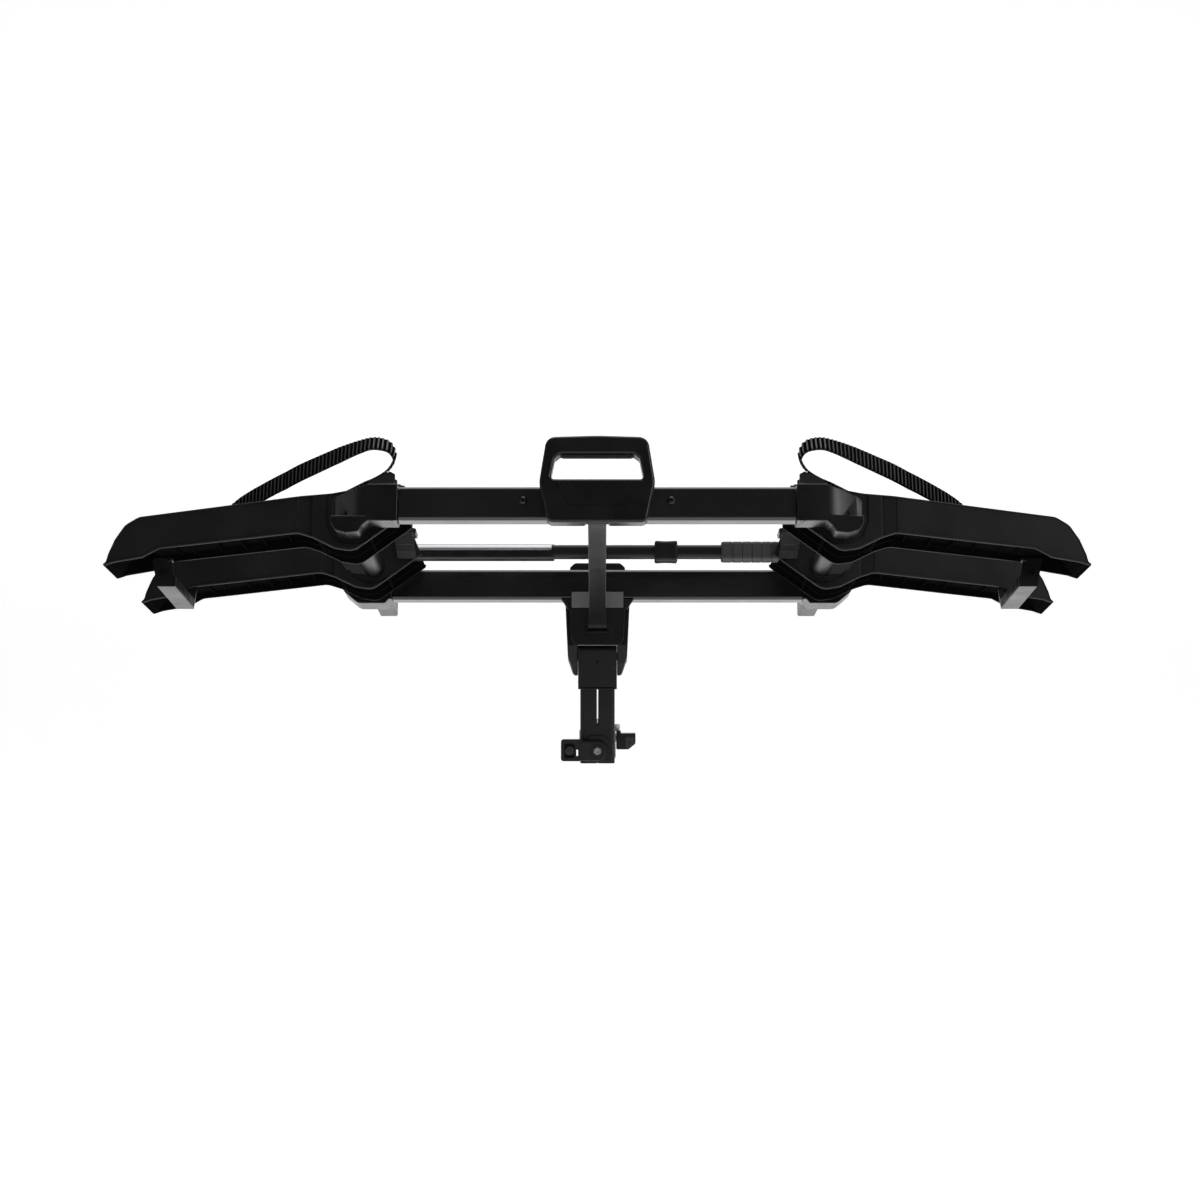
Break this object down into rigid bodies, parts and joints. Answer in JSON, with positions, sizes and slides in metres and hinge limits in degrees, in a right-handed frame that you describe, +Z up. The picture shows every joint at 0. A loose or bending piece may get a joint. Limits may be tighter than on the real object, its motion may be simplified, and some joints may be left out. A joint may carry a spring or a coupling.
{
  "type": "hitch mounted bike rack",
  "caption": "Hitch mounted platform bike rack with folding wheel trays, ladder straps, telescoping arms and a tilt release handle.",
  "frame": {"origin": "centre of the flat face at the tip of the 2 inch shank", "axes": "+Y along the shank toward the vehicle, +Z up, +X to the right seen from behind the car"},
  "size_m": [1.3, 0.6846, 0.4592],
  "materials": {
    "black_steel": "satin",
    "black_plastic": "satin",
    "grey_plastic": "satin",
    "black_rubber": "matte",
    "bare_metal": "satin",
    "silver_alloy": "satin"
  },
  "bodies": {
    "hitch_frame": {"hitch_shank": "black_steel", "riser_post": "black_steel", "riser_sleeve": "black_steel", "tilt_bolt": "bare_metal", "tilt_nut": "bare_metal", "lever_plate": "black_steel"},
    "wobble_lever": {"wobble_lever": "black_plastic", "lever_lock": "bare_metal", "draw_rod": "bare_metal"},
    "wobble_wedge": {"wobble_wedge": "bare_metal"},
    "wobble_shoe": {"wobble_shoe": "bare_metal"},
    "hitch_pin": {"hitch_pin": "bare_metal", "pin_lock": "black_plastic"},
    "platform": {"rear_crossbar": "black_steel", "front_crossbar": "black_steel", "hinge_housing": "black_plastic", "housing_cover": "black_plastic", "handle": "black_plastic", "hinge_cheek_left": "black_plastic", "hinge_cheek_right": "black_plastic", "front_bracket_left": "black_steel", "front_bracket_right": "black_steel", "rear_bracket_left": "black_steel", "rear_bracket_right": "black_steel", "wing_axle_left": "black_steel", "wing_axle_right": "black_steel", "rail_foot_left": "black_steel", "rail_foot_right": "black_steel", "bar_bolt_left": "black_steel", "bar_bolt_right": "black_steel"},
    "release_trigger": {"release_trigger": "black_plastic"},
    "release_link": {"release_strap": "black_steel", "latch_pawl": "bare_metal"},
    "arm_front": {"arm_yoke_front": "black_steel", "arm_tube_front": "silver_alloy"},
    "arm_front_inner": {"arm_inner_front": "black_steel", "arm_grip_front": "black_rubber"},
    "arm_rear": {"arm_yoke_rear": "black_steel", "arm_tube_rear": "silver_alloy"},
    "arm_rear_inner": {"arm_inner_rear": "black_steel", "arm_grip_rear": "black_rubber"},
    "wing_left": {"tray_rear_left": "black_plastic", "tray_front_left": "black_plastic", "wing_link_left": "black_steel", "wheel_strap_rear_left": "black_rubber", "wheel_strap_front_left": "black_rubber"},
    "buckle_lever_rear_left": {"buckle_lever_rear_left": "black_plastic"},
    "strap_button_rear_left": {"strap_button_rear_left": "grey_plastic"},
    "buckle_lever_front_left": {"buckle_lever_front_left": "black_plastic"},
    "strap_button_front_left": {"strap_button_front_left": "grey_plastic"},
    "wing_right": {"tray_rear_right": "black_plastic", "tray_front_right": "black_plastic", "wing_link_right": "black_steel", "wheel_strap_rear_right": "black_rubber", "wheel_strap_front_right": "black_rubber"},
    "buckle_lever_rear_right": {"buckle_lever_rear_right": "black_plastic"},
    "strap_button_rear_right": {"strap_button_rear_right": "grey_plastic"},
    "buckle_lever_front_right": {"buckle_lever_front_right": "black_plastic"},
    "strap_button_front_right": {"strap_button_front_right": "grey_plastic"}
  },
  "joints": [
    {"name": "platform_tilt", "type": "hinge", "parent": "hitch_frame", "child": "platform", "pos_m": [0, -0.26, 0.131], "axis": [-1, 0, 0], "range_deg": [-38, 78]},
    {"name": "wobble_turn", "type": "hinge", "parent": "hitch_frame", "child": "wobble_lever", "pos_m": [0, -0.2882, -0.0057], "axis": [0, -1, 0], "range_deg": [0, 720]},
    {"name": "wedge_draw", "type": "slide", "parent": "hitch_frame", "child": "wobble_wedge", "axis": [0, -1, 0], "range_m": [0, 0.0041]},
    {"name": "shoe_push", "type": "slide", "parent": "hitch_frame", "child": "wobble_shoe", "axis": [0, 0, -1], "range_m": [0, 0.00102]},
    {"name": "pin_pull", "type": "slide", "parent": "hitch_frame", "child": "hitch_pin", "axis": [1, 0, 0], "range_m": [0, 0.072]},
    {"name": "trigger_squeeze", "type": "slide", "parent": "platform", "child": "release_trigger", "axis": [0, 0.1942, 0.981], "range_m": [0, 0.005], "stiffness_N_per_m": 400, "springref_m": -0.002},
    {"name": "link_pull", "type": "slide", "parent": "platform", "child": "release_link", "axis": [0, -0.941, 0.3383], "range_m": [0, 0.004]},
    {"name": "wing_fold_left", "type": "hinge", "parent": "platform", "child": "wing_left", "pos_m": [-0.32, -0.23902, 0.23694], "axis": [0, 0.981, -0.1942], "range_deg": [0, 90], "deforming": ["wheel_strap_rear_left"]},
    {"name": "wing_fold_right", "type": "hinge", "parent": "platform", "child": "wing_right", "pos_m": [0.32, -0.23902, 0.23694], "axis": [0, -0.981, 0.1942], "range_deg": [0, 90], "deforming": ["wheel_strap_front_right"]},
    {"name": "arm_swing_front", "type": "hinge", "parent": "platform", "child": "arm_front", "pos_m": [-0.32, -0.34398, 0.25773], "axis": [0, 0.981, -0.1942], "range_deg": [-92, 0], "deforming": ["wheel_strap_front_left"]},
    {"name": "arm_extend_front", "type": "slide", "parent": "arm_front", "child": "arm_front_inner", "axis": [1, 0, 0], "range_m": [-0.11, 0.035]},
    {"name": "arm_swing_rear", "type": "hinge", "parent": "platform", "child": "arm_rear", "pos_m": [0.32, -0.59315, 0.30706], "axis": [0, -0.981, 0.1942], "range_deg": [-92, 0], "deforming": ["wheel_strap_rear_right"]},
    {"name": "arm_extend_rear", "type": "slide", "parent": "arm_rear", "child": "arm_rear_inner", "axis": [-1, 0, 0], "range_m": [-0.11, 0.035]},
    {"name": "buckle_press_rear_left", "type": "hinge", "parent": "wing_left", "child": "buckle_lever_rear_left", "pos_m": [-0.3, -0.56021, 0.36272], "axis": [0, 0.981, -0.1942], "range_deg": [0, 12], "stiffness_Nm_per_rad": 0.5, "springref_deg": -8.59},
    {"name": "button_press_rear_left", "type": "slide", "parent": "wing_left", "child": "strap_button_rear_left", "axis": [0, 0.981, -0.1942], "range_m": [0, 0.0026], "stiffness_N_per_m": 300, "springref_m": -0.002},
    {"name": "buckle_press_rear_right", "type": "hinge", "parent": "wing_right", "child": "buckle_lever_rear_right", "pos_m": [0.3, -0.56021, 0.36272], "axis": [0, -0.981, 0.1942], "range_deg": [0, 12], "stiffness_Nm_per_rad": 0.5, "springref_deg": -8.59},
    {"name": "button_press_rear_right", "type": "slide", "parent": "wing_right", "child": "strap_button_rear_right", "axis": [0, 0.981, -0.1942], "range_m": [0, 0.0026], "stiffness_N_per_m": 300, "springref_m": -0.002},
    {"name": "buckle_press_front_left", "type": "hinge", "parent": "wing_left", "child": "buckle_lever_front_left", "pos_m": [-0.3, -0.31105, 0.31339], "axis": [0, 0.981, -0.1942], "range_deg": [0, 12], "stiffness_Nm_per_rad": 0.5, "springref_deg": -8.59},
    {"name": "button_press_front_left", "type": "slide", "parent": "wing_left", "child": "strap_button_front_left", "axis": [0, 0.981, -0.1942], "range_m": [0, 0.0026], "stiffness_N_per_m": 300, "springref_m": -0.002},
    {"name": "buckle_press_front_right", "type": "hinge", "parent": "wing_right", "child": "buckle_lever_front_right", "pos_m": [0.3, -0.31105, 0.31339], "axis": [0, -0.981, 0.1942], "range_deg": [0, 12], "stiffness_Nm_per_rad": 0.5, "springref_deg": -8.59},
    {"name": "button_press_front_right", "type": "slide", "parent": "wing_right", "child": "strap_button_front_right", "axis": [0, 0.981, -0.1942], "range_m": [0, 0.0026], "stiffness_N_per_m": 300, "springref_m": -0.002}
  ],
  "couplings": [
    {"joint": "wedge_draw", "follows": "wobble_turn", "m_per_rad": 0.00031831},
    {"joint": "shoe_push", "follows": "wobble_turn", "m_per_rad": 0.00007958},
    {"joint": "link_pull", "follows": "trigger_squeeze", "ratio": 0.8}
  ]
}
